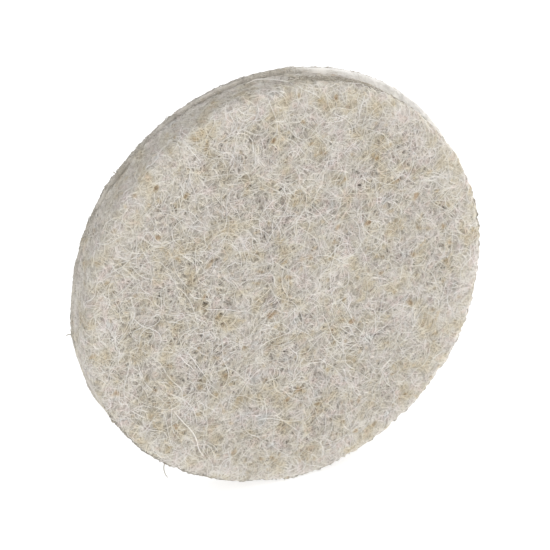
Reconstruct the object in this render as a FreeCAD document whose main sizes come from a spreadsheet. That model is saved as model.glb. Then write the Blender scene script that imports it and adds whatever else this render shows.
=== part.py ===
import FreeCAD, Part
import os
import Sketcher

# Felt polishing wheel: a solid disc of pressed wool felt with a loop cloth glued to its back.
#
# The wheel stands upright and turns about the Y axis. The working face looks toward -Y and +Z is up. The
# origin is on the felt's axis, in the plane of the loop cloth's back, where a hook pad grips it. From back
# to front the pieces are the loop cloth, the glue film and the felt. The loop cloth was cut a little wider
# than the felt and glued on a little off centre, so it shows past the felt on the side it is shifted to.

SHEET = "Dimensions"

# Alias, size in millimetres, what it measures.
DIMENSIONS = [
    ("felt_diameter", 50.0, "outside of the felt disc"),
    ("felt_thickness", 3.95, "felt disc from its back to its working face"),
    ("face_round", 0.8, "soft round where the working face meets the wall"),
    ("back_round", 0.25, "round of the felt's back edge"),
    ("film_thickness", 0.15, "glue between the felt and the loop cloth"),
    ("film_margin", 0.3, "glue kept back from the nearest edge of what it joins"),
    ("loop_thickness", 1.1, "loop cloth, ground and pile together"),
    ("loop_overhang", 0.35, "loop cloth's radius less the felt's radius"),
    ("loop_round", 0.5, "round of the loop cloth's back edge"),
    ("loop_shift_x", 0.2, "how far sideways the loop cloth is off centre"),
    ("loop_shift_z", 0.2, "how far upward the loop cloth is off centre"),
]

LOOP_SHIFT = f"sqrt({SHEET}.loop_shift_x ^ 2 + {SHEET}.loop_shift_z ^ 2)"


def add_dimensions(doc):
    """Adds the spreadsheet that every size is read from."""
    sheet = doc.addObject("Spreadsheet::Sheet", SHEET)
    for row, (alias, size, meaning) in enumerate(DIMENSIONS, start=1):
        sheet.set(f"A{row}", meaning)
        sheet.set(f"B{row}", str(size))
        sheet.setAlias(f"B{row}", alias)
    doc.recompute()


def add_disc(doc, label, diameter, thickness):
    """Adds a body with one round pad, which grows from the body's XZ plane toward -Y."""
    body = doc.addObject("PartDesign::Body", label)
    body.Label = label
    plane = next(o for o in body.Origin.OriginFeatures if o.Role == "XZ_Plane")
    sketch = body.newObject("Sketcher::SketchObject", f"{label}_outline")
    sketch.AttachmentSupport = [(plane, "")]
    sketch.MapMode = "FlatFace"
    circle = sketch.addGeometry(Part.Circle(), False)
    sketch.addConstraint(Sketcher.Constraint("Coincident", circle, 3, -1, 1))
    size = sketch.addConstraint(Sketcher.Constraint("Diameter", circle, 1.0))
    sketch.renameConstraint(size, "disc_diameter")
    sketch.setExpression("Constraints.disc_diameter", diameter)
    pad = body.newObject("PartDesign::Pad", f"{label}_pad")
    pad.Profile = sketch
    pad.setExpression("Length", thickness)
    doc.recompute()
    return body, pad


def round_edge(doc, body, base, label, at_back, radius):
    """Rounds the circle at the back of the base feature, toward +Y, or the one at its front."""
    circles = [
        (edge.CenterOfMass.y, f"Edge{number}")
        for number, edge in enumerate(base.Shape.Edges, start=1)
        if isinstance(edge.Curve, Part.Circle)
    ]
    fillet = body.newObject("PartDesign::Fillet", label)
    fillet.Base = (base, [max(circles)[1] if at_back else min(circles)[1]])
    fillet.setExpression("Radius", radius)
    doc.recompute()
    return fillet


def add_loop_backing(doc):
    """The loop cloth, whose pile grips a hook pad, with its back edge rubbed round."""
    diameter = f"{SHEET}.felt_diameter + 2 * {SHEET}.loop_overhang"
    body, pad = add_disc(doc, "loop_backing", diameter, f"{SHEET}.loop_thickness")
    body.Tip = round_edge(doc, body, pad, "loop_back_round", True, f"{SHEET}.loop_round")
    body.setExpression("Placement.Base.x", f"{SHEET}.loop_shift_x")
    body.setExpression("Placement.Base.z", f"{SHEET}.loop_shift_z")
    return body


def add_glue_film(doc):
    """The glue film, half way between the two centres and inside the edges of felt and cloth alike."""
    shared = f"{SHEET}.felt_diameter + min(0; 2 * {SHEET}.loop_overhang) - {LOOP_SHIFT}"
    diameter = f"{shared} - 2 * {SHEET}.film_margin"
    body, pad = add_disc(doc, "glue_film", diameter, f"{SHEET}.film_thickness")
    body.Tip = pad
    body.setExpression("Placement.Base.x", f"{SHEET}.loop_shift_x / 2")
    body.setExpression("Placement.Base.y", f"-{SHEET}.loop_thickness")
    body.setExpression("Placement.Base.z", f"{SHEET}.loop_shift_z / 2")
    return body


def add_felt_disc(doc):
    """The felt, one pressed wool disc with no hole, rounded where the face meets the wall."""
    body, pad = add_disc(doc, "felt_disc", f"{SHEET}.felt_diameter", f"{SHEET}.felt_thickness")
    face = round_edge(doc, body, pad, "felt_face_round", False, f"{SHEET}.face_round")
    body.Tip = round_edge(doc, body, face, "felt_back_round", True, f"{SHEET}.back_round")
    back = f"-({SHEET}.loop_thickness + {SHEET}.film_thickness)"
    body.setExpression("Placement.Base.y", back)
    return body


def check(doc, bodies):
    """Stops if any object failed, or if a piece isn't one sound solid."""
    for item in doc.Objects:
        if {"Invalid", "Error"} & set(item.State):
            raise RuntimeError(f"{item.Name} failed: {item.State}")
    for body in bodies:
        shape = body.Shape
        if shape.isNull() or not shape.isValid() or len(shape.Solids) != 1:
            raise RuntimeError(f"{body.Label} isn't one sound solid")


def write(bodies):
    """Writes each piece to a STEP file of its own, named after its label."""
    os.makedirs("parts", exist_ok=True)
    for body in bodies:
        body.Shape.exportStep(f"parts/{body.Label}.step")
        print(f"{body.Label}: {body.Shape.Volume:.1f} mm3")


document = FreeCAD.newDocument("FeltPolishingWheel")
add_dimensions(document)
pieces = [add_loop_backing(document), add_glue_film(document), add_felt_disc(document)]
document.recompute()
check(document, pieces)
write(pieces)
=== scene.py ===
"""Felt polishing wheel: the looks of a pressed wool disc with a loop cloth glued to its back.

Lengths are in metres, in the CAD model's frame: the wheel stands upright, its working face looks toward -Y,
its back is in the plane y = 0, and +Z is up. The CAD solids give where each piece is. Here the felt becomes a
bumpy ground with thousands of separate wool fibres laid and tangled over it, and the cloth gets its knit and
its pile.
"""

import logging
import math
from dataclasses import dataclass
from enum import Enum

import bpy
import numpy as np
from mathutils import Matrix, Vector


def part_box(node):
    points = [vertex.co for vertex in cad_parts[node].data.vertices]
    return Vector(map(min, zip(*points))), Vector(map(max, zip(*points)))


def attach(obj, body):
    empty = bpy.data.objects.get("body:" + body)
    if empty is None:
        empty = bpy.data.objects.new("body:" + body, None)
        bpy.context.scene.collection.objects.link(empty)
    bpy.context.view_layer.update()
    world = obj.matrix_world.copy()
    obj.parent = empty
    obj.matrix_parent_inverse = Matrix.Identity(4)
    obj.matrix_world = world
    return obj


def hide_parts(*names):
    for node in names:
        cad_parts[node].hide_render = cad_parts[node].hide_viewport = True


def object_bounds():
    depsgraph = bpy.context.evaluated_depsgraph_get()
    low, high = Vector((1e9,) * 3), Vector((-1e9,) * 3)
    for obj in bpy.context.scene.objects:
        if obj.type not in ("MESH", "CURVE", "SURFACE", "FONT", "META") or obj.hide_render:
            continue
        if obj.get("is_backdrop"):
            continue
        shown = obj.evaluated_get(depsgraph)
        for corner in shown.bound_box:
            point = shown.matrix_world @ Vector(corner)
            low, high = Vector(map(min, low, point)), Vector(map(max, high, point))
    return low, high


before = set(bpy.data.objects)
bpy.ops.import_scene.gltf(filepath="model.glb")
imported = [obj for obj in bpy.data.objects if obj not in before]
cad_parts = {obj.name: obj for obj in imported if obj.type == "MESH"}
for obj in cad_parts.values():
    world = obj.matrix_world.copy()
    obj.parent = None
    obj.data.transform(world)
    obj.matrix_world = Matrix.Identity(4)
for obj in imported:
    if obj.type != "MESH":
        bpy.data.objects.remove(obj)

MM = 0.001
BODY = "root"
UV_MAP = "OFBake"
TONE = "tone"
SENSOR_WIDTH = 36.0
# Over how many degrees a layer that covers only a part of the round thins out at its ends.
SECTOR_FADE = 20.0
# How many places are tried for each fibre, so that enough are left when a layer's rules have thinned them.
TRIES = 6
# How far the net of fibres stands out past the felt's ground, which is drawn in by as much.
FIBRE_STAND = 0.17 * MM
# How open the felt is on the whole, and how far that rises and falls.
OPEN_MIDDLE, OPEN_SWING = 0.66, 0.34
# Turns a noise's lattice out of line with the face, so that its period never shows there.
LATTICE_TURN = np.array(Matrix.Rotation(0.9, 3, Vector((0.6, 0.5, 0.62)).normalized()))

log = logging.getLogger("felt_polishing_wheel")


class Slot(Enum):
    """The record's material slots, one named for each piece as it is built."""

    WOOL = "wool_felt"
    GLUE = "glue"
    CLOTH = "loop_cloth"


# ------------------------------------------------------------------------------
# Helpers for lengths, colour, nodes and meshes


def mm(*lengths: float) -> tuple[float, ...]:
    """Turns millimetres to metres."""
    return tuple(length * MM for length in lengths)


def linear(hex_colour: str) -> tuple[float, float, float, float]:
    """Turns an sRGB hex colour to linear.

    Args:
        hex_colour: six hex digits, such as "d8cfbe".

    Returns:
        Red, green, blue and an alpha of 1.
    """
    channels = [int(hex_colour[i : i + 2], 16) / 255 for i in (0, 2, 4)]
    turned = [c / 12.92 if c <= 0.04045 else ((c + 0.055) / 1.055) ** 2.4 for c in channels]
    return turned[0], turned[1], turned[2], 1.0


def add_node(
    tree: bpy.types.NodeTree, kind: str, sockets: dict | None = None, **settings: object
) -> bpy.types.Node:
    """Adds a node with its settings and links.

    Args:
        tree: the node tree it goes into.
        kind: the node's type name.
        sockets: by input name or number, a value or the output socket that feeds it.
        **settings: the node's own properties.

    Returns:
        The node.
    """
    node = tree.nodes.new(kind)
    for name, value in settings.items():
        setattr(node, name, value)
    for name, value in (sockets or {}).items():
        if isinstance(value, bpy.types.NodeSocket):
            tree.links.new(value, node.inputs[name])
        else:
            node.inputs[name].default_value = value
    return node


def set_stops(ramp: bpy.types.Node, stops: list[tuple[float, str]]) -> None:
    """Gives a colour ramp its stops.

    Args:
        ramp: the colour ramp node.
        stops: each stop's place, from 0 to 1, and its hex colour.
    """
    elements = ramp.color_ramp.elements
    while len(elements) < len(stops):
        elements.new(0.5)
    for element, (place, colour) in zip(elements, stops):
        element.position = place
        element.color = linear(colour)


def smooth_step(low: float, high: float, values: np.ndarray) -> np.ndarray:
    """Rises smoothly from 0 at low to 1 at high.

    Args:
        low: the value where it leaves 0.
        high: the value where it reaches 1.
        values: where it is worked out.

    Returns:
        The step at each value.
    """
    part = np.clip((values - low) / (high - low), 0, 1)
    return part * part * (3 - 2 * part)


def unit(vectors: np.ndarray) -> np.ndarray:
    """Scales vectors to a length of 1."""
    return vectors / np.maximum(np.linalg.norm(vectors, axis=-1, keepdims=True), 1e-12)


@dataclass
class Facets:
    """A mesh as it is put together: points, faces of one or more sizes, and their layout on the UV map.

    Attributes:
        points: the vertices.
        faces: arrays of vertex numbers, one row a face, each with as many corners as the array is wide.
        layouts: for each array of faces, the UV point of each corner.
        tones: each vertex's place on its wool's ramp of colours, or None.
    """

    points: np.ndarray
    faces: list[np.ndarray]
    layouts: list[np.ndarray]
    tones: np.ndarray | None = None

    def to_object(self, name: str, material: bpy.types.Material, slot: Slot) -> bpy.types.Object:
        """Makes the mesh object and puts it in the scene, riding on the wheel's body.

        Args:
            name: the piece's name.
            material: its finish.
            slot: the record's material slot; not used.

        Returns:
            The object.
        """
        mesh = bpy.data.meshes.new(name)
        loops = np.concatenate([f.ravel() for f in self.faces])
        totals = np.concatenate([np.full(len(f), f.shape[1]) for f in self.faces])
        starts = np.concatenate([[0], np.cumsum(totals)[:-1]])
        mesh.vertices.add(len(self.points))
        mesh.vertices.foreach_set("co", self.points.astype(np.float32).ravel())
        mesh.loops.add(len(loops))
        mesh.loops.foreach_set("vertex_index", loops.astype(np.int32))
        mesh.polygons.add(len(totals))
        mesh.polygons.foreach_set("loop_start", starts.astype(np.int32))
        mesh.polygons.foreach_set("use_smooth", np.ones(len(totals), bool))
        corners = np.concatenate([u.reshape(-1, 2) for u in self.layouts])
        mesh.uv_layers.new(name=UV_MAP).data.foreach_set("uv", corners.astype(np.float32).ravel())
        if self.tones is not None:
            tone = mesh.attributes.new(TONE, "FLOAT", "POINT")
            tone.data.foreach_set("value", self.tones.astype(np.float32))
        mesh.update(calc_edges=True)
        mesh.materials.append(material)
        piece = bpy.data.objects.new(name, mesh)
        bpy.context.scene.collection.objects.link(piece)
        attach(piece, BODY)
        log.info("%s: %d triangles", name, int((totals - 2).sum()))
        return piece


@dataclass(frozen=True)
class SmoothNoise:
    """Smooth random relief in space, blended from random numbers on a lattice.

    Attributes:
        cell: the lattice's spacing, which is about half the distance from one bump to the next.
        seed: which random numbers it draws.
        height: how high the highest bumps are.
        period: after how many cells the lattice repeats.
    """

    cell: float
    seed: int
    height: float = 1.0
    period: int = 48

    def at(self, points: np.ndarray) -> np.ndarray:
        """Works the relief out.

        Args:
            points: places in space, one a row.

        Returns:
            The relief at each, from -height to height.
        """
        lattice = np.random.default_rng(self.seed).uniform(-1, 1, (self.period,) * 3)
        scaled = points @ LATTICE_TURN / self.cell
        low = np.floor(scaled).astype(int)
        part = scaled - low
        part = part * part * (3 - 2 * part)
        total = np.zeros(len(points))
        for corner in np.ndindex(2, 2, 2):
            weight = np.prod(np.where(np.array(corner) == 1, part, 1 - part), axis=1)
            x, y, z = ((low + corner) % self.period).T
            total += weight * lattice[x, y, z]
        return total * self.height


# The felt's relief: the swell left by pressing, the frayed cut, where it is matted or open, and its grain.
SLOW_SWELL = SmoothNoise(3.2 * MM, 11, 0.07 * MM)
QUICK_SWELL = SmoothNoise(0.9 * MM, 12, 0.05 * MM)
FRAYING = SmoothNoise(0.42 * MM, 13)
MATTING = SmoothNoise(3.6 * MM, 21, 1.9)
GRAIN = SmoothNoise(0.17 * MM, 32, 0.018 * MM)
# How its tone changes from one clump of wool to the next, and along the cut wall.
SMALL_CLUMPS = SmoothNoise(0.3 * MM, 41, 0.18)
LARGE_CLUMPS = SmoothNoise(1.7 * MM, 42, 0.10)
WALL_MOTTLE = SmoothNoise(0.7 * MM, 43)
# How the glue ran out at its edge, how the knife wandered round the cloth, and the cloth's ripple.
GLUE_RUN = (SmoothNoise(1.2 * MM, 51, 0.10 * MM), SmoothNoise(3.0 * MM, 52, 0.08 * MM))
KNIFE_RUN = (SmoothNoise(1.1 * MM, 61, 0.02 * MM), SmoothNoise(6.0 * MM, 62, 0.07 * MM))
CLOTH_RIPPLE = SmoothNoise(0.9 * MM, 63, 0.012 * MM)


# ------------------------------------------------------------------------------
# Finishes


@dataclass(frozen=True)
class Fleece:
    """Undyed fibre, matte and uneven: each has its own tone, and patches of brown, grey and yellow show.

    Attributes:
        name: the finish's name.
        stops: the ramp of its own tones, from the deepest fibre to the palest.
        patches: how strongly the patches tint it, from 0 to 1.
        roughness: fibre scatters nearly all light, so it is close to 1.
        sheen: the faint glow of fine fibre ends against the light.
        ior: its refractive index, 1.55 for the keratin of wool and 1.57 for polyester.
        glow_through: how much light passes through a thin cloth of it, from 0 to 1.
        patch_size: how far it is from one fleece to the next in the blend.
        tuft_size: how large a single tuft is.
    """

    name: str
    stops: tuple[tuple[float, str], ...]
    patches: float = 0.8
    roughness: float = 0.85
    sheen: float = 0.05
    ior: float = 1.55
    glow_through: float = 0.0
    patch_size: float = 2.3 * MM
    tuft_size: float = 0.95 * MM

    def build(self) -> bpy.types.Material:
        """Makes the material, or finds it where another piece made it already.

        Returns:
            The material.
        """
        if self.name in bpy.data.materials:
            return bpy.data.materials[self.name]
        material = bpy.data.materials.new(self.name)
        material.use_nodes = True
        tree = material.node_tree
        shader = tree.nodes["Principled BSDF"]
        tone = add_node(tree, "ShaderNodeAttribute", attribute_name=TONE)
        own = add_node(tree, "ShaderNodeValToRGB", {"Fac": tone.outputs["Fac"]})
        set_stops(own, list(self.stops))
        place = add_node(tree, "ShaderNodeTexCoord")
        tinted = own.outputs["Color"]
        pattern = {"Vector": place.outputs["Object"], "Roughness": 0.5}
        scales = ((self.patch_size, 2.0, FLEECE_PATCHES), (self.tuft_size, 0.0, FLEECE_TUFTS))
        for size, detail, stops in scales:
            spread = add_node(tree, "ShaderNodeTexNoise", pattern | {"Scale": 1 / size, "Detail": detail})
            tint = add_node(tree, "ShaderNodeValToRGB", {"Fac": spread.outputs["Fac"]})
            set_stops(tint, stops)
            sockets = {0: self.patches, 6: tinted, 7: tint.outputs["Color"]}
            blended = add_node(tree, "ShaderNodeMix", sockets, data_type="RGBA", blend_type="MULTIPLY")
            tinted = blended.outputs[2]
        tree.links.new(tinted, shader.inputs["Base Color"])
        shader.inputs["Roughness"].default_value = self.roughness
        shader.inputs["IOR"].default_value = self.ior
        shader.inputs["Specular IOR Level"].default_value = 0.25
        shader.inputs["Sheen Weight"].default_value = self.sheen
        shader.inputs["Sheen Roughness"].default_value = 0.6
        shader.inputs["Subsurface Weight"].default_value = self.glow_through
        shader.inputs["Subsurface Radius"].default_value = (1.0, 1.0, 1.0)
        shader.inputs["Subsurface Scale"].default_value = 0.6 * MM
        return material


@dataclass(frozen=True)
class Plain:
    """A finish with one colour all over.

    Attributes:
        name: the finish's name.
        colour: its sRGB hex colour.
        roughness: how far it spreads a reflection.
        ior: its refractive index.
        sheen: the glow of fine fibres, for cloth.
        glow: light it gives off by itself, for the floor of a light tent.
    """

    name: str
    colour: str
    roughness: float
    ior: float = 1.5
    sheen: float = 0.0
    glow: float = 0.0

    def build(self) -> bpy.types.Material:
        """Makes the material, or finds it where another piece made it already.

        Returns:
            The material.
        """
        if self.name in bpy.data.materials:
            return bpy.data.materials[self.name]
        material = bpy.data.materials.new(self.name)
        material.use_nodes = True
        shader = material.node_tree.nodes["Principled BSDF"]
        shader.inputs["Base Color"].default_value = linear(self.colour)
        shader.inputs["Roughness"].default_value = self.roughness
        shader.inputs["IOR"].default_value = self.ior
        shader.inputs["Sheen Weight"].default_value = self.sheen
        shader.inputs["Emission Color"].default_value = linear("ffffff")
        shader.inputs["Emission Strength"].default_value = self.glow
        return material


def ramp(deep: str, middle: str, pale: str, last: float = 1.0) -> tuple[tuple[float, str], ...]:
    """Sets a deep, a middle and a pale colour at the start, the middle and the end of a ramp."""
    return (0.0, deep), (0.5, middle), (last, pale)


# What a patch multiplies the fibre's own colour by: brown, straw, clean fleece, then pinkish and bluish grey.
FLEECE_PATCHES = [
    (0.26, "ede1c6"),
    (0.36, "f6f0df"),
    (0.45, "fcfaf3"),
    (0.54, "fffefc"),
    (0.63, "fffbfb"),
    (0.74, "f7fbff"),
]
# Single tufts: rust and ochre ones are rare, and most are clean.
FLEECE_TUFTS = [(0.11, "cfb188"), (0.18, "ede1c9"), (0.28, "fcfaf6"), (0.60, "ffffff"), (0.76, "fff8f8")]

# The pressed ground under the net of fibres: the same wool, deeper in tone as painted shade under the fibres.
GROUND_WOOL = Fleece("pressed_wool_ground", ramp("88837a", "d4cfc6", "e8e4de"), patches=0.7)
# Coarse brown and grey fleece, the deepest fibres of the net.
BROWN_WOOL = Fleece("coarse_brown_wool", ramp("a19a90", "d2ccc2", "e4dfd7"), patches=0.8)
# Yellowish fleece, the greater part of the net.
STRAW_WOOL = Fleece("straw_coloured_wool", ramp("b3ada5", "e1ddd6", "efece7"), patches=0.7)
# Clean cream fleece that crosses over the rest.
CREAM_WOOL = Fleece("cream_wool", ramp("c1bcb5", "e9e6e1", "f4f2ef"), patches=0.7)
# White kemp, the thickest and straightest fibres, which catch the light.
WHITE_WOOL = Fleece("white_kemp", ramp("d3cfc9", "efede9", "f9f8f6"), patches=0.4)
# The cut wall, rubbed smooth by the die, with the grey of the knife in it.
WALL_WOOL = Fleece("die_cut_wool", ramp("bbb5ad", "d5d0c9", "e6e3dd"), patches=0.5)
# Fine ends along the cut edge and loose strands, darkened as painted shade, which draw a soft grey line round
# it.
OUTLINE_SHADE_WOOL = Fleece("soiled_wool_ends", ramp("8f8c85", "aeaba3", "ccc8c0"), patches=0.2)
# Fibres behind the face's edge and at the seam, darkened as painted shade.
SHADE_WOOL = Fleece("folded_wool_ends", ramp("7d776c", "9d968a", "bdb6a9"), patches=0.2)

# Hot-melt glue squeezed flat: amber grey, with a dull gloss where it shows in the seam.
HOT_MELT = Plain("hot_melt_glue", "b4ac9f", roughness=0.5, ior=1.48)
# Knitted polyester, heat-set flat on its front: near white on the side where light is painted into its edge,
# and greyed with painted shade elsewhere.
KNIT_GROUND = Fleece(
    "knitted_polyester", ramp("aaa499", "cbc6bd", "f7f5f2", 0.9), patches=0.05, ior=1.57, glow_through=0.3
)
# The brushed edge of the cloth, its cut filaments near white where painted light falls and greyed with
# painted shade elsewhere.
EDGE_PILE = Fleece("brushed_polyester_edge", ramp("a8a298", "c9c4bb", "fcfbf9", 0.85), patches=0.05, ior=1.57)
# Napped polyester loops, paler than the back of the ground between them, which carries painted shade.
LOOP_PILE = Plain("napped_polyester_loops", "f2f0eb", roughness=0.75, ior=1.57, sheen=0.1)
# The floor of a light tent, lit from below so that it holds only a trace of shadow.
TENT_FLOOR = Plain("light_tent_floor", "c8c8c8", roughness=0.9, glow=0.65)


# ------------------------------------------------------------------------------
# The felt's shape


def out_of_round(bulges: tuple[tuple[float, float, float], ...], angle: np.ndarray) -> np.ndarray:
    """How much further out than a circle a cut runs at each angle.

    Args:
        bulges: each one's angle from +X toward +Z and width, in degrees, and its height, below 0 for a dent.
        angle: angles from +X toward +Z, in radians.

    Returns:
        Lengths.
    """
    degrees = np.degrees(angle)
    total = np.zeros_like(degrees)
    for centre, width, height in bulges:
        away = (degrees - centre + 180) % 360 - 180
        total += height * np.exp(-((away / width) ** 2))
    return total


@dataclass(frozen=True)
class FeltShape:
    """The felt's outside as one sheet, unrolled from the middle of the face, over the rim and down the wall.

    A place on the sheet is two lengths, u toward +X and v toward +Z, and its distance from the middle is
    measured along the surface.

    Attributes:
        radius: the felt's radius.
        face: y of the working face.
        back: y of its back.
        rim_round: the round where the face meets the wall.
        back_round: the round at the back edge.
        centre: x and z of the middle.
        bulges: where the cut isn't round, as out_of_round takes them.
        pit_size: half the distance from one pit, where a needle pulled the fibres down, to the next.
        ragged: how far the cut edge of the face frays in and out.
    """

    radius: float
    face: float
    back: float
    rim_round: float = 0.75 * MM
    back_round: float = 0.25 * MM
    centre: tuple[float, float] = (0.0, 0.0)
    bulges: tuple[tuple[float, float, float], ...] = (
        (275.0, 10.0, 0.22 * MM),
        (192.0, 10.0, 0.30 * MM),
        (208.0, 7.0, 0.25 * MM),
        (237.0, 6.0, -0.15 * MM),
        (259.0, 7.0, -0.14 * MM),
        (352.0, 8.0, -0.18 * MM),
        (312.0, 3.0, 0.14 * MM),
        (322.0, 4.0, -0.20 * MM),
        (306.0, 4.0, -0.12 * MM),
        (250.0, 10.0, -0.14 * MM),
        (138.0, 4.0, -0.20 * MM),
        (68.0, 11.0, 0.18 * MM),
    )
    pit_size: float = 0.33 * MM
    ragged: float = 0.16 * MM

    @property
    def flat(self) -> float:
        """How far the flat of the face reaches from the middle."""
        return self.radius - self.rim_round

    @property
    def rim_end(self) -> float:
        """How far along the sheet the rim's round ends."""
        return self.flat + self.rim_round * math.pi / 2

    @property
    def wall_end(self) -> float:
        """How far along the sheet the wall ends, where the back edge starts to turn."""
        return self.rim_end + (self.back - self.face - self.rim_round - self.back_round)

    def place(self, u: np.ndarray, v: np.ndarray) -> tuple[np.ndarray, np.ndarray]:
        """Rolls places on the sheet back onto the plain shape.

        Args:
            u: lengths toward +X.
            v: lengths toward +Z.

        Returns:
            The points, and the outward normals there.
        """
        along, angle = np.hypot(u, v), np.arctan2(v, u)
        turned = np.clip((along - self.flat) / self.rim_round, 0, math.pi / 2)
        down = np.maximum(along - self.rim_end, 0)
        out = np.minimum(along, self.flat) + self.rim_round * np.sin(turned)
        # The bulges of the cut die away toward the middle of the face.
        out = out + out_of_round(self.bulges, angle) * smooth_step(0.55, 1.0, along / self.radius)
        deep = self.face + self.rim_round * (1 - np.cos(turned)) + down
        x, z = self.centre
        points = np.stack([x + out * np.cos(angle), deep, z + out * np.sin(angle)], axis=-1)
        outward = np.sin(turned)
        normals = np.stack([outward * np.cos(angle), -np.cos(turned), outward * np.sin(angle)], axis=-1)
        return points, normals

    def swell(self, points: np.ndarray) -> np.ndarray:
        """The slow rise and fall of the pressed surface, which the fibres follow.

        Args:
            points: places on the plain shape.

        Returns:
            Heights above the plain shape.
        """
        x, z = self.centre
        out = np.hypot(points[:, 0] - x, points[:, 2] - z) / self.radius
        # The cut frays at the face's edge, less and less from 1 to 2 mm behind the face.
        at_rim = smooth_step(0.97, 0.99, out) * (1 - smooth_step(1.0, 2.0, (points[:, 1] - self.face) / MM))
        frayed = FRAYING.at(points) * self.ragged
        return SLOW_SWELL.at(points) + QUICK_SWELL.at(points) + frayed * at_rim

    def margin(self, along: np.ndarray) -> np.ndarray:
        """From 0 over the open middle of the face to 1 at the rim, where the felt is denser and smoother."""
        return smooth_step(0.80, 0.97, along / self.radius)

    def openness(self, points: np.ndarray) -> np.ndarray:
        """How open the felt is at each point: high where pits lie close, low where it is matted."""
        return OPEN_MIDDLE + OPEN_SWING * np.clip(MATTING.at(points), -1, 1)

    def pits(self, points: np.ndarray, along: np.ndarray) -> np.ndarray:
        """How deep in a pit each point is, from 0 on the flat to 1 at the bottom of the deepest.

        Args:
            points: places on the plain shape.
            along: their distances from the middle, along the sheet.

        Returns:
            Shares of the pits' depth.
        """
        holes = smooth_step(0.16, 0.62, SmoothNoise(self.pit_size, 31).at(points))
        return holes * self.openness(points) * (1 - 0.8 * self.margin(along))

    def on_surface(
        self, u: np.ndarray, v: np.ndarray, height: np.ndarray, sag: float
    ) -> tuple[np.ndarray, np.ndarray, np.ndarray]:
        """Puts points at a height above the swelling surface.

        Args:
            u: lengths toward +X on the sheet.
            v: lengths toward +Z on the sheet.
            height: how far each stands off.
            sag: how far a point drops where the pits are deepest.

        Returns:
            The points, the outward normals there, and how deep in a pit each is.
        """
        shape = u.shape
        points, normals = self.place(u.ravel(), v.ravel())
        pits = self.pits(points, np.hypot(u, v).ravel())
        points = points + normals * (self.swell(points) + height.ravel() - pits * sag)[:, None]
        return points.reshape(*shape, 3), normals.reshape(*shape, 3), pits.reshape(shape)


def painted_side_light(angle: np.ndarray, middle: float) -> np.ndarray:
    """How much painted light the cloth's edge takes at each angle: painted shade greys it everywhere but on
    one side.

    Args:
        angle: angles from +X toward +Z, in radians.
        middle: the middle of the side that painted light falls on, in degrees.

    Returns:
        From 0.45 where painted shade greys it to 1 where painted light leaves it near white.
    """
    away = np.abs((np.degrees(angle) - middle + 180) % 360 - 180)
    return 1 - 0.55 * smooth_step(18, 68, away)


def square_grid_to_disc(cells: int) -> tuple[np.ndarray, np.ndarray, np.ndarray]:
    """Lays a square grid of points out over a disc of radius 1, so that no faces crowd at its middle.

    Args:
        cells: how many cells the grid has each way.

    Returns:
        The points as an array of (cells + 1) by (cells + 1) by 2, the faces' vertex numbers, counted row by
        row, and the vertex numbers round the edge, anticlockwise from angle -3/4 pi.
    """
    line = np.linspace(-1, 1, cells + 1)
    a, b = np.meshgrid(line, line, indexing="ij")
    wide = np.abs(a) > np.abs(b)
    safe_a, safe_b = np.where(a == 0, 1, a), np.where(b == 0, 1, b)
    reach = np.where(wide, a, b)
    angle = np.where(wide, math.pi / 4 * b / safe_a, math.pi / 2 - math.pi / 4 * a / safe_b)
    points = np.stack([reach * np.cos(angle), reach * np.sin(angle)], axis=-1)
    number = np.arange((cells + 1) ** 2).reshape(cells + 1, cells + 1)
    faces = np.stack([number[:-1, :-1], number[1:, :-1], number[1:, 1:], number[:-1, 1:]], axis=-1)
    edge = np.concatenate([number[:-1, 0], number[-1, :-1], number[:0:-1, -1], number[0, :0:-1]])
    return points, faces.reshape(-1, 4), edge


def ring_faces(inner: np.ndarray, outer: np.ndarray) -> np.ndarray:
    """Joins two closed rings of as many vertices with a band of faces.

    Args:
        inner: the first ring's vertex numbers.
        outer: the second ring's vertex numbers, in step with the first.

    Returns:
        The faces' vertex numbers.
    """
    return np.stack([inner, outer, np.roll(outer, -1), np.roll(inner, -1)], axis=-1)


def rings_from(edge: np.ndarray, first: int, count: int) -> list[np.ndarray]:
    """Numbers the rings of vertices that follow an edge.

    Args:
        edge: the edge's vertex numbers.
        first: the number of the first ring's first vertex.
        count: how many rings there are, numbered one after another.

    Returns:
        The edge's own ring and those that follow it.
    """
    around = len(edge)
    return [edge] + [first + step * around + np.arange(around) for step in range(count)]


def fan_layout(first: np.ndarray, second: np.ndarray, radius: float) -> np.ndarray:
    """Lays a fan of triangles out small, in a corner that the round layout of the rest leaves free.

    Args:
        first: the outward direction of each triangle's first corner.
        second: that of its last corner; the one between is the fan's middle.
        radius: how large the fan is on the UV map.

    Returns:
        The UV point of each corner.
    """
    corners = np.stack([first, np.zeros_like(first), second], axis=1)
    return (corners * radius + radius) * 0.98 + 0.002


# ------------------------------------------------------------------------------
# The felt disc


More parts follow.
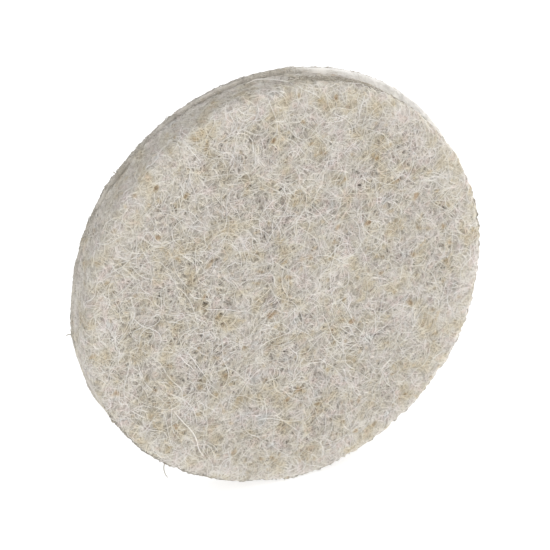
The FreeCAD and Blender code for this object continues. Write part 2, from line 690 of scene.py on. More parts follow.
@dataclass
class FeltGround:
    """The felt's pressed ground: a closed body whose face and wall are pitted and swollen.

    Attributes:
        shape: the felt's outer shape.
        cells: how many cells the face's grid has each way.
        rim_rings: how many rings of vertices run over the rim's round.
        wall_rings: how many run down the wall.
        pit_depth: how deep the pits go.
        sink: how far the ground lies under the surface that the fibres follow.
    """

    shape: FeltShape
    cells: int = 256
    rim_rings: int = 5
    wall_rings: int = 15
    pit_depth: float = 0.26 * MM
    sink: float = 0.05 * MM

    def relief(self, points: np.ndarray, along: np.ndarray) -> np.ndarray:
        """How far the ground lies above the plain shape.

        Args:
            points: places on the plain shape.
            along: their distances from the middle, along the sheet.

        Returns:
            Heights, most of them below 0 by the pits' depth.
        """
        pits = self.shape.pits(points, along) * self.pit_depth
        return self.shape.swell(points) + GRAIN.at(points) - self.sink - pits

    def build(self) -> bpy.types.Object:
        """Makes the ground.

        Returns:
            The piece.
        """
        shape = self.shape
        disc, faces, edge = square_grid_to_disc(self.cells)
        flat = disc.reshape(-1, 2) * shape.flat
        edge_angle = np.arctan2(flat[edge, 1], flat[edge, 0])
        around = len(edge)
        rim = np.linspace(shape.flat, shape.rim_end, self.rim_rings + 1)[1:]
        wall = np.linspace(shape.rim_end, shape.wall_end, self.wall_rings + 1)[1:]
        lengths = np.concatenate([rim, wall])
        u = np.concatenate([flat[:, 0], np.outer(lengths, np.cos(edge_angle)).ravel()])
        v = np.concatenate([flat[:, 1], np.outer(lengths, np.sin(edge_angle)).ravel()])
        plain, normals = shape.place(u, v)
        along = np.hypot(u, v)
        points = plain + normals * self.relief(plain, along)[:, None]
        tones = self.tones(plain, along)

        # The back edge turns in and the back closes with one fan, under the glue.
        last = points[-around:]
        inward = -unit(last * [1, 0, 1])
        half_round = last + inward * shape.back_round * 0.3 + np.array([0, shape.back_round * 0.7, 0])
        back_ring = last + inward * shape.back_round
        back_ring[:, 1] = shape.back
        middle = np.array([[0.0, shape.back, 0.0]])
        points = np.concatenate([points, half_round, back_ring, middle])

        rings = rings_from(edge, len(flat), len(lengths) + 2)
        quads = np.concatenate([faces, *map(ring_faces, rings[:-1], rings[1:])])
        fan = np.stack([rings[-1], np.full(around, len(points) - 1), np.roll(rings[-1], -1)], axis=-1)

        reach = 2 * (shape.wall_end + 2 * shape.back_round) * 1.01
        outward = np.stack([np.cos(edge_angle), np.sin(edge_angle)], axis=-1)
        back = [outward * (shape.wall_end + shape.back_round * k) for k in (1, 2)]
        layout = np.concatenate([np.stack([u, v], axis=-1), *back]) / reach + 0.5
        tones = np.concatenate([tones, np.full(len(points) - len(tones), 0.5)])
        layouts = [layout[quads], fan_layout(outward, np.roll(outward, -1, axis=0), 0.065)]
        body = Facets(points, [quads, fan], layouts, tones)
        piece = body.to_object("felt_ground", GROUND_WOOL.build(), Slot.WOOL)
        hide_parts("felt_disc")
        return piece

    def tones(self, points: np.ndarray, along: np.ndarray) -> np.ndarray:
        """The ground's place on its ramp of colours: in small clumps, deep in the pits as painted shade, and
        pale at the rim.

        Args:
            points: places on the plain shape.
            along: their distances from the middle, along the sheet.

        Returns:
            The places, from 0 to 1.
        """
        clumps = SMALL_CLUMPS.at(points) + LARGE_CLUMPS.at(points)
        pits = self.shape.pits(points, along)
        # The pits deepen the tone: painted shade.
        return np.clip(0.5 + clumps + 0.12 * self.shape.margin(along) - 0.55 * pits, 0, 1)


@dataclass(frozen=True)
class FibreLayer:
    """One kind of wool fibre and how it lies.

    Attributes:
        name: the pieces' name, before their number.
        finish: its wool.
        seed: which random numbers it draws.
        count: how many fibres.
        length: shortest and longest, along the fibre.
        width: thinnest and thickest, across the fibre, drawn as coarse as they need to be to show.
        height: lowest and highest that its middle stands above the felt's surface.
        crimp: how far a fibre's heading swings, in radians.
        inner: how near the middle the layer starts, as a length along the sheet.
        outer: where it ends.
        margin_share: the share of the fibres in the dense margin that are kept.
        around: 0 for any heading, 1 for headings along the rim.
        clumped: 1 where the layer follows the open parts of the felt, -1 where it follows the matted ones,
            0 for neither.
        tone: the lowest and highest place on the ramp of colours.
        dip: how far its ends dive under the surface.
        sector: the first and last angle from +X toward +Z that it covers, in degrees.
        painted_lit_side: the angle, in degrees, round which painted light makes the fibres paler, if any.
        slot: the record's material slot.
        sag: how far a fibre drops into the deepest pits.
        pit_shade: how much deeper its tone is there, as painted shade.
        overrun: how far its fibres may run past the end of the wall.
        mottle: how much the tone differs from one small patch to the next.
    """

    name: str
    finish: Fleece
    seed: int
    count: int
    length: tuple[float, float]
    width: tuple[float, float]
    height: tuple[float, float]
    crimp: float = 0.8
    inner: float = 0.0
    outer: float = 25.2 * MM
    margin_share: float = 1.0
    around: float = 0.0
    clumped: float = 0.0
    tone: tuple[float, float] = (0.0, 1.0)
    dip: float = 0.09 * MM
    sector: tuple[float, float] = (-180.0, 180.0)
    painted_lit_side: float | None = None
    slot: Slot = Slot.WOOL
    sag: float = 0.13 * MM
    pit_shade: float = 0.5
    overrun: float = 0.0
    mottle: float = 0.0


@dataclass
class FibreNet:
    """The wool fibres tangled on the felt, each a thin closed tube that dives into the felt at its ends.

    Attributes:
        shape: the felt's outer shape.
        knots: how many points a fibre is bent at.
        sides: how many sides its tube has.
        most: the most triangles that one piece may hold.
        strip_shape: how many times as long as it is wide a fibre's strip on the UV map is.
    """

    shape: FeltShape
    knots: int = 12
    sides: int = 3
    most: int = 190_000
    strip_shape: int = 22

    def scatter(self, layer: FibreLayer, rng: np.random.Generator) -> tuple[np.ndarray, np.ndarray]:
        """Chooses where the fibres' middles lie, evenly over the sheet, thinned by the layer's own rules.

        Args:
            layer: the kind of fibre.
            rng: its random numbers.

        Returns:
            The middles' u and v.
        """
        tries = layer.count * TRIES
        along = np.sqrt(rng.uniform(layer.inner**2, layer.outer**2, tries))
        first, last = layer.sector
        degrees = rng.uniform(first, last, tries)
        angle = np.radians(degrees)
        u, v = along * np.cos(angle), along * np.sin(angle)
        points, _ = self.shape.place(u, v)
        open_part = (self.shape.openness(points) - OPEN_MIDDLE + OPEN_SWING) / (2 * OPEN_SWING)
        liking = 0.5 + 0.5 * layer.clumped * (2 * open_part - 1)
        keep = 1 - (1 - layer.margin_share) * self.shape.margin(along)
        if last - first < 360:
            keep = keep * smooth_step(0, SECTOR_FADE, np.minimum(degrees - first, last - degrees))
        kept = np.flatnonzero(rng.uniform(0, 1, tries) < liking * keep)[: layer.count]
        return u[kept], v[kept]

    def centrelines(self, layer: FibreLayer, rng: np.random.Generator) -> tuple[np.ndarray, ...]:
        """Bends each fibre on the sheet and lifts it off the felt.

        Args:
            layer: the kind of fibre.
            rng: its random numbers.

        Returns:
            The fibres' points and the surface normals there, as fibres by knots by 3, and each knot's place
            on the ramp of colours.
        """
        u, v = self.scatter(layer, rng)
        count = len(u)
        step = np.linspace(0, 1, self.knots)
        length = rng.uniform(*layer.length, count)
        heading = rng.uniform(-math.pi, math.pi, count)
        if layer.around:
            heading = np.arctan2(v, u) + math.pi / 2 + rng.normal(0, 1.0 - 0.75 * layer.around, count)
        # Its heading drifts to one side, and swings in waves on the way.
        drift = rng.normal(0, layer.crimp, count)
        swing = rng.uniform(0.2, 1.0, count) * layer.crimp
        waves = rng.uniform(0.5, 1.6, count)
        phase = rng.uniform(0, 2 * math.pi, count)
        turn = heading[:, None] + drift[:, None] * (step - 0.5)
        turn = turn + swing[:, None] * np.sin(2 * math.pi * waves[:, None] * step + phase[:, None])
        stride = (length / (self.knots - 1))[:, None]
        du, dv = np.cos(turn) * stride, np.sin(turn) * stride
        lines_u = np.cumsum(du, axis=1) - du
        lines_v = np.cumsum(dv, axis=1) - dv
        lines_u += u[:, None] - lines_u.mean(axis=1, keepdims=True)
        lines_v += v[:, None] - lines_v.mean(axis=1, keepdims=True)
        # No fibre runs past the back of the wall by more than the layer allows.
        reach = np.hypot(lines_u, lines_v)
        scale = np.minimum(1, (self.shape.wall_end + layer.overrun) / np.maximum(reach, 1e-9))
        lines_u, lines_v = lines_u * scale, lines_v * scale
        # It arches over the felt from end to end, in small waves.
        top = rng.uniform(*layer.height, count)[:, None]
        arch = 1 - np.abs(2 * step - 1) ** 3
        wave = np.sin(2 * math.pi * (rng.uniform(1, 2.5, count)[:, None] * step) + phase[:, None]) * 0.03 * MM
        height = (top + layer.dip) * arch - layer.dip + wave * arch
        points, normals, pits = self.shape.on_surface(lines_u, lines_v, height, layer.sag)
        tones = rng.uniform(*layer.tone, count) + 0.15 * self.shape.margin(np.hypot(u, v))
        tones += layer.mottle * WALL_MOTTLE.at(self.shape.place(u, v)[0])
        # Painted light and shade by side: the fibres are paler round the lit side and greyer elsewhere.
        if layer.painted_lit_side is not None:
            tones = painted_side_light(np.arctan2(v, u), layer.painted_lit_side) - np.abs(rng.normal(0, 0.12, count))
        # Fibres in the pits take a deeper tone: painted shade.
        return points, normals, np.clip(tones[:, None] - layer.pit_shade * pits, 0, 1)

    def tubes(
        self, points: np.ndarray, normals: np.ndarray, widths: np.ndarray, tones: np.ndarray
    ) -> Facets:
        """Wraps closed tubes round the centrelines.

        Args:
            points: the centrelines, as fibres by knots by 3.
            normals: which way is up at each knot.
            widths: each fibre's width.
            tones: each knot's place on the ramp of colours.

        Returns:
            The mesh, with each fibre laid out as a strip of its own on the UV map.
        """
        count, knots = points.shape[:2]
        step = np.linspace(-1, 1, knots)
        taper = 0.35 + 0.65 * (1 - step**6)
        radius = widths[:, None] / 2 * taper
        tangent = unit(np.gradient(points, axis=1))
        side = unit(np.cross(tangent, normals))
        up = np.cross(side, tangent)
        turn = np.arange(self.sides) * 2 * math.pi / self.sides + math.pi / 2
        around = side[:, :, None] * np.cos(turn)[:, None] + up[:, :, None] * np.sin(turn)[:, None]
        rings = points[:, :, None] + around * radius[:, :, None, None]
        number = np.arange(count * knots * self.sides).reshape(count, knots, self.sides)
        here, there = number[:, :-1], number[:, 1:]
        quads = np.stack(
            [here, np.roll(here, -1, axis=2), np.roll(there, -1, axis=2), there], axis=-1
        ).reshape(-1, 4)
        caps = np.concatenate([number[:, 0, ::-1], number[:, -1]])
        a = np.linspace(0, 1, knots)
        b = np.linspace(0, 1, self.sides + 1)
        corners = ((a[:-1], b[:-1]), (a[:-1], b[1:]), (a[1:], b[1:]), (a[1:], b[:-1]))
        square = np.stack([np.stack(np.meshgrid(*pair, indexing="ij"), -1) for pair in corners], axis=-2)
        corner, extent = self.strips(count)
        quad_uv = corner[:, None, None, None] + square[None] * extent
        spread = np.linspace(0.1, 0.9, self.sides)
        ends = np.stack([np.stack([np.full(self.sides, x), spread], -1) for x in (0.0, 1.0)])
        cap_uv = np.concatenate([corner[:, None] + ends[k] * extent for k in (0, 1)])
        layouts = [quad_uv.reshape(-1, 4, 2), cap_uv]
        return Facets(rings.reshape(-1, 3), [quads, caps], layouts, np.repeat(tones.ravel(), self.sides))

    def strips(self, count: int) -> tuple[np.ndarray, np.ndarray]:
        """Divides the UV map into one long strip a fibre, with a gap round each.

        Args:
            count: how many fibres.

        Returns:
            Each strip's lower left corner, and the size they share.
        """
        columns = max(1, int(math.sqrt(count / self.strip_shape)))
        rows = math.ceil(count / columns)
        index = np.arange(count)
        corner = np.stack([index % columns / columns, index // columns / rows], axis=-1)
        cell = np.array([1 / columns, 1 / rows])
        gap = np.array([0.01, 0.12])
        return corner + cell * gap, cell * (1 - 2 * gap)

    def build(self, layer: FibreLayer) -> list[bpy.types.Object]:
        """Makes a layer's fibres.

        Args:
            layer: the kind of fibre.

        Returns:
            Its pieces.
        """
        rng = np.random.default_rng(layer.seed)
        points, normals, tones = self.centrelines(layer, rng)
        widths = rng.uniform(*layer.width, len(points))
        return self.pieces(layer.name, layer.finish.build(), layer.slot, points, normals, widths, tones)

    def pieces(
        self, name: str, material: bpy.types.Material, slot: Slot, *lines: np.ndarray
    ) -> list[bpy.types.Object]:
        """Makes the tubes, in as many pieces as keep each under the most triangles.

        Args:
            name: the pieces' name, before their number.
            material: their finish.
            slot: the record's material slot.
            *lines: what tubes() takes, each array with one row a fibre.

        Returns:
            The pieces.
        """
        count, knots = lines[0].shape[:2]
        each = (knots - 1) * self.sides * 2 + 2
        shares = np.array_split(np.arange(count), math.ceil(count * each / self.most))
        pieces = []
        for number, chosen in enumerate(shares, start=1):
            mesh = self.tubes(*(rows[chosen] for rows in lines))
            pieces.append(mesh.to_object(f"{name}_{number}", material, slot))
        return pieces


@dataclass(frozen=True)
class Strand:
    """One loose fibre that is placed along a listed route.

    Attributes:
        name: the piece's name.
        finish: its wool.
        width: how thick it is.
        route: the points it bends through, from the felt disc's axis and from its face, in millimetres: x,
            the depth behind the face, and z.
    """

    name: str
    finish: Fleece
    width: float
    route: tuple[tuple[float, float, float], ...]

    def build(self, shape: FeltShape) -> bpy.types.Object:
        """Makes the strand.

        Args:
            shape: the felt's outer shape.

        Returns:
            The piece.
        """
        corners = np.array(self.route) * MM + np.array([0.0, shape.face, 0.0])
        corners = np.concatenate([2 * corners[:1] - corners[1:2], corners, 2 * corners[-1:] - corners[-2:-1]])
        # A smooth curve through every corner: each run heads along the line between its two neighbours.
        parts = np.linspace(0, 1, 7)[:-1, None]
        runs = []
        for a, b, c, d in zip(corners[:-3], corners[1:-2], corners[2:-1], corners[3:]):
            square = (a - 2.5 * b + 2 * c - d / 2) * parts**2
            cube = (1.5 * b - a / 2 - 1.5 * c + d / 2) * parts**3
            runs.append(b + (c - a) / 2 * parts + square + cube)
        line = np.concatenate([*runs, corners[-2:-1]])[None]
        # Away from the face and a little to one side, so that it is never along the strand.
        up = np.broadcast_to(np.array([0.1, -1.0, 0.15]), line.shape)
        mesh = FibreNet(shape, sides=6).tubes(line, up, np.array([self.width]), np.full(line.shape[:2], 0.7))
        return mesh.to_object(self.name, self.finish.build(), Slot.WOOL)


# The darker strands take the outline wool, whose deep tone is painted shade.
LOOSE_STRANDS = (
    # Hangs from the wall at the lower left.
    Strand("hanging_strand", OUTLINE_SHADE_WOOL, 0.13 * MM, (
        (-15.0, 2.2, -19.4), (-15.35, 2.3, -20.1), (-15.5, 2.3, -20.9), (-15.4, 2.2, -21.6),
        (-15.1, 2.1, -22.2),
    )),
    # A thick white fibre that lies on the lower part of the face.
    Strand("white_kemp_lower", WHITE_WOOL, 0.11 * MM, (
        (-15.2, 0.1, -11.6), (-14.6, -0.12, -12.6), (-13.8, -0.2, -13.8), (-12.95, -0.2, -15.0),
        (-12.35, -0.22, -16.2), (-12.05, -0.2, -17.6), (-11.6, -0.15, -18.6), (-11.1, 0.12, -19.3),
    )),
    # Crosses the wall at the top.
    Strand("wall_strand_top", WHITE_WOOL, 0.10 * MM, (
        (-4.2, 3.3, 24.75), (-3.0, 3.45, 25.02), (-1.9, 2.9, 25.12), (-0.8, 1.9, 25.14), (0.2, 1.4, 24.95),
    )),
    # Stick out past the cloth's edge on the left.
    Strand("left_end_upper", OUTLINE_SHADE_WOOL, 0.14 * MM, (
        (-18.9, 4.0, 16.0), (-19.2, 4.1, 16.3), (-19.45, 4.1, 16.55), (-19.6, 4.2, 16.65),
    )),
    Strand("left_end_lower", OUTLINE_SHADE_WOOL, 0.11 * MM, (
        (-24.8, 4.1, -1.6), (-25.3, 4.1, -1.9), (-25.7, 4.1, -1.9), (-25.9, 4.2, -2.1),
    )),
)


# What a layer has where the felt is too dense for pits, so that its fibres neither drop nor take painted
# shade there.
NO_PITS = {"sag": 0.0, "pit_shade": 0.0}


@dataclass
class FeltDisc:
    """The whole felt disc: its ground, its net of fibres and the loose ends at its edge.

    Attributes:
        shape: the felt's outer shape.
    """

    shape: FeltShape

    def layers(self) -> list[FibreLayer]:
        """Lists the layers of the net, from the deepest out.

        Returns:
            The net over the face, then the wall's fibres, then the ends along the edges that carry painted
            shade.
        """
        flat, rim_end, wall_end = self.shape.flat, self.shape.rim_end, self.shape.wall_end
        return [
            FibreLayer(
                "net_brown", BROWN_WOOL, 101, 4200, mm(1.2, 3.0), mm(0.09, 0.16), mm(-0.05, 0.02),
                margin_share=0.4, clumped=0.5, crimp=1.1,
            ),
            FibreLayer(
                "net_straw", STRAW_WOOL, 102, 8600, mm(1.3, 4.0), mm(0.08, 0.14), mm(-0.03, 0.06),
                crimp=0.95,
            ),
            FibreLayer(
                "net_cream", CREAM_WOOL, 103, 8000, mm(1.6, 5.0), mm(0.07, 0.12), mm(0.0, 0.10),
                clumped=-0.3, crimp=0.85,
            ),
            FibreLayer(
                "net_white", WHITE_WOOL, 104, 1100, mm(2.0, 5.0), mm(0.08, 0.11), mm(0.04, 0.13),
                sag=0.08 * MM, pit_shade=0.3,
            ),
            FibreLayer(
                "net_long", WHITE_WOOL, 108, 500, mm(4.5, 9.0), mm(0.08, 0.12), mm(0.07, 0.15),
                outer=22.5 * MM, crimp=0.9, tone=(0.0, 0.85), sag=0.05 * MM, pit_shade=0.2,
            ),
            FibreLayer(
                "wall_fibres", WALL_WOOL, 105, 7600, mm(0.8, 2.4), mm(0.06, 0.11), mm(-0.02, 0.05),
                inner=flat + 0.3 * MM, outer=wall_end, crimp=1.3, tone=(0.15, 0.95),
                overrun=0.1 * MM, mottle=0.35, **NO_PITS,
            ),
            FibreLayer(
                "seam_bridge", WALL_WOOL, 107, 2000, mm(0.6, 1.8), mm(0.07, 0.12), mm(0.0, 0.09),
                inner=wall_end - 0.5 * MM, outer=wall_end + 0.5 * MM, crimp=1.2, tone=(0.3, 0.85),
                sector=(66.0, 255.0), overrun=0.6 * MM, mottle=0.4, **NO_PITS,
            ),
            # These four layers carry painted shade: edge_ends and rim_shade darken the outline along the
            # lower right, rim_painted_shade the line between the face and the cloth at the upper right, and
            # seam_shade the back half of the wall at the top.
            FibreLayer(
                "edge_ends", OUTLINE_SHADE_WOOL, 106, 1500, mm(0.3, 1.0), mm(0.06, 0.11), mm(0.0, 0.22),
                inner=flat + 0.6 * MM, outer=rim_end + 1.9 * MM, around=0.2, sector=(-155.0, 24.0), **NO_PITS,
            ),
            FibreLayer(
                "rim_shade", SHADE_WOOL, 109, 1500, mm(0.4, 1.1), mm(0.06, 0.10), mm(0.0, 0.12),
                inner=flat + 0.70 * MM, outer=flat + 1.15 * MM, around=0.5, tone=(0.05, 0.85),
                sector=(-160.0, 26.0), **NO_PITS,
            ),
            FibreLayer(
                "rim_painted_shade", SHADE_WOOL, 110, 1700, mm(0.5, 1.4), mm(0.06, 0.10), mm(-0.02, 0.06),
                inner=rim_end - 0.1 * MM, outer=rim_end + 0.9 * MM, crimp=1.1, around=0.35, tone=(0.1, 0.6),
                sector=(26.0, 76.0), **NO_PITS,
            ),
            FibreLayer(
                "seam_shade", SHADE_WOOL, 111, 1600, mm(0.5, 1.4), mm(0.06, 0.10), mm(0.0, 0.07),
                inner=wall_end - 2.2 * MM, outer=wall_end - 0.5 * MM, crimp=1.2, around=0.15, tone=(0.3, 1.0),
                sector=(32.0, 94.0), **NO_PITS,
            ),
        ]

    def build(self) -> None:
        """Makes every piece of the felt."""
        FeltGround(self.shape).build()
        net = FibreNet(self.shape)
        for layer in self.layers():
            net.build(layer)
        for strand in LOOSE_STRANDS:
            strand.build(self.shape)


# ------------------------------------------------------------------------------
# The glue film and the loop cloth


@dataclass
class GlueFilm:
    """The glue between felt and cloth, a thin film whose edge ran out unevenly.

    Attributes:
        low: the CAD film's lowest corner.
        high: its highest corner.
        around: how many vertices run round its edge.
        squeezed: how far the glue ran out when the pieces were pressed together.
    """

    low: Vector
    high: Vector
    around: int = 512
    squeezed: float = 0.1 * MM

    def build(self) -> bpy.types.Object:
        """Makes the film.

        Returns:
            The piece.
        """
        centre = (self.low + self.high) / 2
        radius = (self.high.x - self.low.x) / 2
        angle = np.linspace(0, 2 * math.pi, self.around, endpoint=False)
        edge = np.stack([np.cos(angle), np.zeros_like(angle), np.sin(angle)], axis=-1)
        run = sum(noise.at(edge * radius) for noise in GLUE_RUN)
        middle = np.array([centre.x, 0, centre.z])
        rows = []
        for part, inset in ((0.0, 0.06 * MM), (0.5, 0.0), (1.0, 0.06 * MM)):
            ring = middle + edge * (radius + self.squeezed - inset + run)[:, None]
            ring[:, 1] = self.low.y + (self.high.y - self.low.y) * part
            rows.append(ring)
        ends = [[centre.x, self.low.y, centre.z], [centre.x, self.high.y, centre.z]]
        points = np.concatenate([*rows, np.array(ends)])
        front, mid, back = (np.arange(self.around) + k * self.around for k in range(3))
        bands = np.concatenate([ring_faces(front, mid), ring_faces(mid, back)])
        last = 3 * self.around
        front_fan = np.stack([front, np.roll(front, -1), np.full(self.around, last)], axis=-1)
        back_fan = np.stack([np.roll(back, -1), back, np.full(self.around, last + 1)], axis=-1)
        # On the UV map the front lies in the lower left quarter and the back in the upper right.
        flat = np.stack([points[:, 0] - centre.x, points[:, 2] - centre.z], axis=-1) / (radius * 4.4)
        fan_uv = np.concatenate([flat[front_fan] + 0.25, flat[back_fan] + 0.75])
        fans = np.concatenate([front_fan, back_fan])
        film = Facets(points, [bands, fans], [flat[bands] + 0.25, fan_uv])
        piece = film.to_object("glue_seam", HOT_MELT.build(), Slot.GLUE)
        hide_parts("glue_film")
        return piece


@dataclass
class LoopBacking:
    """The loop cloth: a knitted ground, smooth in front, with a napped pile of loops behind.

    Attributes:
        low: the CAD cloth's lowest corner.
        high: its highest corner.
        ground: how thick the knitted ground is.
        wale: the distance from one column of stitches to the next.
        course: the distance from one row of stitches to the next.
        relief: how high the stitches stand.
        cells: how many cells the ground's grid has each way.
        loops: how many loops of pile are set.
        loop_width: how thick the yarn of a loop is.
        loop_knots: how many points a loop is bent at.
        painted_lit_side: the middle of the side where painted light leaves the edge near white, in degrees
            from +X toward +Z.
        back_shade_tone: the back's place on the ground's ramp of colours, deep enough to paint shade between
            the loops.
        pile_stand: how far the brushed edge stands out past the ground, which is drawn in by as much.
        bulges: where the cut isn't round, as out_of_round takes them.
    """

    low: Vector
    high: Vector
    ground: float = 0.42 * MM
    wale: float = 0.85 * MM
    course: float = 0.62 * MM
    relief: float = 0.07 * MM
    cells: int = 256
    loops: int = 14000
    loop_width: float = 0.085 * MM
    loop_knots: int = 8
    painted_lit_side: float = 40.0
    back_shade_tone: float = 0.55
    pile_stand: float = 0.2 * MM
    bulges: tuple[tuple[float, float, float], ...] = (
        (48.0, 30.0, 0.38 * MM),
        (133.0, 8.0, -0.16 * MM),
        (144.0, 4.0, 0.15 * MM),
        (186.0, 8.0, 0.25 * MM),
        (204.0, 7.0, 0.40 * MM),
    )

    @property
    def centre(self) -> Vector:
        """The cloth's middle, in the plane of its front."""
        return Vector(((self.low.x + self.high.x) / 2, self.low.y, (self.low.z + self.high.z) / 2))

    @property
    def radius(self) -> float:
        """The cloth's radius."""
        return (self.high.x - self.low.x) / 2

    def knit(self, across: np.ndarray, upward: np.ndarray) -> np.ndarray:
        """The knit's relief: rows of stitches whose legs lean toward each other.

        Args:
            across: places along the rows.
            upward: places along the columns.

        Returns:
            Heights, from 0 to the relief.
        """
        lean = np.abs((across / self.wale) % 1 - 0.5) * 2
        rows = np.sin(2 * math.pi * (upward / self.course + 0.5 * lean))
        columns = np.sin(math.pi * ((across / self.wale) % 1)) ** 2
        return self.relief * (0.5 + 0.5 * rows) * (0.35 + 0.65 * columns)

    def edge_run(self, angle: np.ndarray) -> np.ndarray:
        """How far outside the CAD cloth's circle the ground's edge runs.

        Args:
            angle: angles from +X toward +Z, in radians.

        Returns:
            Lengths, most of them below 0 by the pile's stand.
        """
        ring = np.stack([np.cos(angle), np.zeros_like(angle), np.sin(angle)], axis=-1) * self.radius
        knife = sum(noise.at(ring) for noise in KNIFE_RUN)
        return knife + out_of_round(self.bulges, angle) - self.pile_stand

    def build_ground(self) -> bpy.types.Object:
        """Makes the knitted ground.

        Returns:
            The piece.
        """
        disc, faces, edge = square_grid_to_disc(self.cells)
        disc = disc.reshape(-1, 2)
        angle = np.arctan2(disc[:, 1], disc[:, 0])
        reach = np.hypot(disc[:, 0], disc[:, 1])
        radial = reach * (self.radius - 0.08 * MM) + self.edge_run(angle) * smooth_step(0.9, 1.0, reach)
        x, z = radial * np.cos(angle), radial * np.sin(angle)
        fade = 1 - smooth_step(0.975, 1.0, reach)
        back_y = self.centre.y + self.ground + self.knit(x, z) * fade
        back = np.stack([x + self.centre.x, back_y, z + self.centre.z], axis=-1)
        around = len(edge)
        edge_angle = angle[edge]
        outward = np.stack([np.cos(edge_angle), np.zeros(around), np.sin(edge_angle)], axis=-1)
        run = self.edge_run(edge_angle)
        # From the back's edge round to the front, then in to where the felt hides it: how far in each ring of
        # vertices lies, and its share of the ground's thickness.
        profile = zip(mm(0.0, 0.0, -0.08, -0.4, -0.9, -1.6), (0.75, 0.3, 0.0, 0.0, 0.0, 0.0))
        rings = []
        for inset, deep in profile:
            ring = outward * (self.radius + inset + run)[:, None]
            ring = ring + np.array([self.centre.x, self.centre.y + self.ground * deep, self.centre.z])
            if len(rings) > 2:
                ring[:, 1] += CLOTH_RIPPLE.at(ring) - 0.01 * MM
            rings.append(ring)
        points = np.concatenate([back, *rings, np.array([[*self.centre]])])
        numbers = rings_from(edge, len(back), len(rings))
        quads = np.concatenate([faces[:, ::-1], *map(ring_faces, numbers[1:], numbers[:-1])])
        fan = np.stack([np.roll(numbers[-1], -1), np.full(around, len(points) - 1), numbers[-1]], axis=-1)
        outline = outward[:, [0, 2]]
        front = [outline * (self.radius + 0.35 * MM * (k + 1)) for k in range(len(rings))]
        wide = back[:, [0, 2]] - [self.centre.x, self.centre.z]
        layout = np.concatenate([wide, *front]) * 0.5 / (self.radius + 2.5 * MM) + 0.5
        layouts = [layout[quads], fan_layout(np.roll(outline, -1, axis=0), outline, 0.06)]
        # The edge takes painted light on one side and painted shade elsewhere; the middle, hidden behind the
        # felt, stays deep.
        tones = painted_side_light(np.arctan2(points[:, 2], points[:, 0]), self.painted_lit_side)
        tones = tones * smooth_step(0.9, 1.0, np.hypot(points[:, 0], points[:, 2]) / self.radius)
        # The back takes a deeper tone: painted shade between the loops.
        at_back = points[:, 1] > self.centre.y + self.ground * 0.9
        cloth = Facets(points, [quads, fan], layouts, np.where(at_back, self.back_shade_tone, tones))
        piece = cloth.to_object("loop_cloth_ground", KNIT_GROUND.build(), Slot.CLOTH)
        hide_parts("loop_backing")
        return piece

    def build_pile(self, net: FibreNet) -> list[bpy.types.Object]:
        """Makes the pile: loops of yarn that rise from the ground, lean all ways and come back to it.

        Args:
            net: what wraps tubes round the loops' lines.

        Returns:
            The pieces.
        """
        rng = np.random.default_rng(71)
        napped = self.radius - 0.5 * MM
        reach = napped * np.sqrt(rng.uniform(0, 1, self.loops))
        angle = rng.uniform(-math.pi, math.pi, self.loops)
        foot = np.stack([reach * np.cos(angle), reach * np.sin(angle)], axis=-1)
        # Loops start in the columns of stitches.
        column = (np.round(foot[:, 0] / self.wale - 0.5) + 0.5) * self.wale
        foot[:, 0] = column + rng.normal(0, 0.12 * MM, self.loops)
        foot = foot[np.hypot(foot[:, 0], foot[:, 1]) < napped]
        count = len(foot)
        step = np.linspace(0, math.pi, self.loop_knots)
        heading = rng.uniform(-math.pi, math.pi, count)
        span = rng.uniform(*mm(0.18, 0.42), count)
        tall = self.high.y - (self.centre.y + self.ground)
        rise = rng.uniform(0.62, 1.0, count) * (tall - self.loop_width)
        lean = rng.normal(0, 0.16 * MM, (count, 2))
        forward = -np.cos(step) * span[:, None]
        height = np.sin(step) ** 0.7 * rise[:, None]
        bend = np.sin(step) ** 2
        x = foot[:, :1] + np.cos(heading)[:, None] * forward + lean[:, :1] * bend
        z = foot[:, 1:] + np.sin(heading)[:, None] * forward + lean[:, 1:] * bend
        base = self.centre.y + self.ground - 0.02 * MM
        points = np.stack([x + self.centre.x, base + height, z + self.centre.z], axis=-1)
        across = np.stack([-np.sin(heading), np.zeros(count), np.cos(heading)], axis=-1)
        normals = np.repeat(across[:, None], self.loop_knots, axis=1)
        widths = rng.uniform(0.8, 1.25, count) * self.loop_width
        tones = np.full((count, self.loop_knots), 0.5)
        return net.pieces("loop_pile", LOOP_PILE.build(), Slot.CLOTH, points, normals, widths, tones)

    def build_edge(self) -> list[bpy.types.Object]:
        """Makes the brushed filaments that stand along the cloth's cut edge and over the strip past the felt.

        Returns:
            The pieces.
        """
        edge = FeltShape(
            radius=self.radius - self.pile_stand,
            face=self.low.y,
            back=self.high.y - 0.35 * MM,
            rim_round=0.2 * MM,
            back_round=0.3 * MM,
            centre=(self.centre.x, self.centre.z),
            bulges=self.bulges,
            ragged=0.0,
        )
        end = edge.wall_end
        clinging = FibreLayer(
            "clinging_wool", WALL_WOOL, 75, 1500, mm(0.7, 1.9), mm(0.06, 0.11), mm(0.0, 0.07),
            inner=edge.radius - 0.5 * MM, outer=end, crimp=1.3, tone=(0.0, 0.75), sector=(78.0, 235.0),
            overrun=0.1 * MM, mottle=0.35, **NO_PITS,
        )
        brushed = FibreLayer(
            "edge_pile", EDGE_PILE, 72, 4600, mm(0.7, 2.2), mm(0.05, 0.09), mm(-0.02, 0.05),
            inner=edge.radius - 0.7 * MM, outer=end, around=0.8, painted_lit_side=self.painted_lit_side,
            dip=0.05 * MM, slot=Slot.CLOTH, overrun=0.2 * MM, **NO_PITS,
        )
